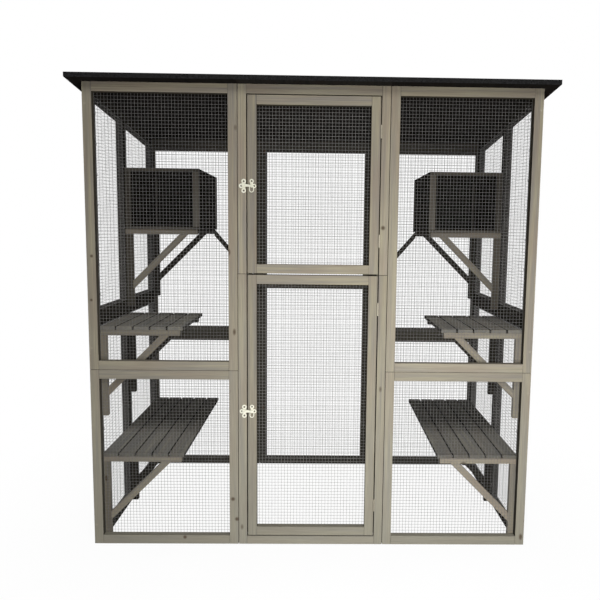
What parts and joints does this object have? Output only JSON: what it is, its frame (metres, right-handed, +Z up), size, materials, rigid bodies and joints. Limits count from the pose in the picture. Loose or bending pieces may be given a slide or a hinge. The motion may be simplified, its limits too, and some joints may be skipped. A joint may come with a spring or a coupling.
{
  "type": "walk-in cat cage",
  "caption": "Walk-in wooden cat cage with wire mesh walls, upper and lower doors, slatted shelves, open resting boxes and a sloped felt roof.",
  "frame": {"origin": "on the ground, in the middle of the cage's footprint", "axes": "+X to the right seen from the front, +Y from the front to the back, +Z up"},
  "size_m": [1.834, 1.004, 1.8317],
  "materials": {
    "frame_timber": "grey-brown stain, matt",
    "shelf_timber": "grey-brown stain, matt",
    "box_board": "darker grey-brown stain, matt",
    "roof_board": "dark stain, matt",
    "roofing_felt": "gritty bitumen felt",
    "galvanised_wire": "dull galvanised",
    "hinge_steel": "satin plated",
    "latch_casting": "cream-white enamel"
  },
  "bodies": {
    "cage": {"back_centre_lower_frame": "frame_timber", "back_centre_mesh": "galvanised_wire", "back_centre_upper_frame": "frame_timber", "back_left_lower_frame": "frame_timber", "back_left_mesh": "galvanised_wire", "back_left_upper_frame": "frame_timber", "back_right_lower_frame": "frame_timber", "back_right_mesh": "galvanised_wire", "back_right_upper_frame": "frame_timber", "door_lower_jamb_frame": "frame_timber", "door_upper_jamb_frame": "frame_timber", "front_left_lower_frame": "frame_timber", "front_left_mesh": "galvanised_wire", "front_left_upper_frame": "frame_timber", "front_right_lower_frame": "frame_timber", "front_right_mesh": "galvanised_wire", "front_right_upper_frame": "frame_timber", "hinge_jamb_leaves": "hinge_steel", "hinge_pins": "hinge_steel", "latch_jamb_plates": "latch_casting", "left_box_boards": "box_board", "left_box_brackets": "frame_timber", "left_box_posts": "frame_timber", "left_front_lower_frame": "frame_timber", "left_front_upper_frame": "frame_timber", "left_lower_shelf_brackets": "frame_timber", "left_lower_shelf_slats": "shelf_timber", "left_rear_lower_frame": "frame_timber", "left_rear_upper_frame": "frame_timber", "left_upper_shelf_brackets": "frame_timber", "left_upper_shelf_slats": "shelf_timber", "left_wall_mesh": "galvanised_wire", "right_box_boards": "box_board", "right_box_brackets": "frame_timber", "right_box_posts": "frame_timber", "right_front_lower_frame": "frame_timber", "right_front_upper_frame": "frame_timber", "right_lower_shelf_brackets": "frame_timber", "right_lower_shelf_slats": "shelf_timber", "right_rear_lower_frame": "frame_timber", "right_rear_upper_frame": "frame_timber", "right_upper_shelf_brackets": "frame_timber", "right_upper_shelf_slats": "shelf_timber", "right_wall_mesh": "galvanised_wire", "roof_centre_board": "roof_board", "roof_felt": "roofing_felt", "roof_left_board": "roof_board", "roof_right_board": "roof_board"},
    "upper_door": {"upper_door_frame": "frame_timber", "upper_door_hinge_leaves": "hinge_steel", "upper_door_latch_plate": "latch_casting", "upper_door_mesh": "galvanised_wire"},
    "lower_door": {"lower_door_frame": "frame_timber", "lower_door_hinge_leaves": "hinge_steel", "lower_door_latch_plate": "latch_casting", "lower_door_mesh": "galvanised_wire"},
    "upper_hook": {"upper_latch_hook": "latch_casting"},
    "lower_hook": {"lower_latch_hook": "latch_casting"}
  },
  "joints": [
    {"name": "upper_door_swing", "type": "hinge", "parent": "cage", "child": "upper_door", "pos_m": [0.2545, -0.4582, 1.43475], "axis": [0, 0, 1], "range_deg": [0, 170]},
    {"name": "upper_hook_turn", "type": "hinge", "parent": "upper_door", "child": "upper_hook", "pos_m": [-0.2355, -0.4575, 1.432], "axis": [0, 1, 0], "range_deg": [0, 90]},
    {"name": "lower_door_swing", "type": "hinge", "parent": "cage", "child": "lower_door", "pos_m": [0.2545, -0.4582, 0.56525], "axis": [0, 0, 1], "range_deg": [0, 170]},
    {"name": "lower_hook_turn", "type": "hinge", "parent": "lower_door", "child": "lower_hook", "pos_m": [-0.2355, -0.4575, 0.552], "axis": [0, 1, 0], "range_deg": [0, 90]}
  ]
}
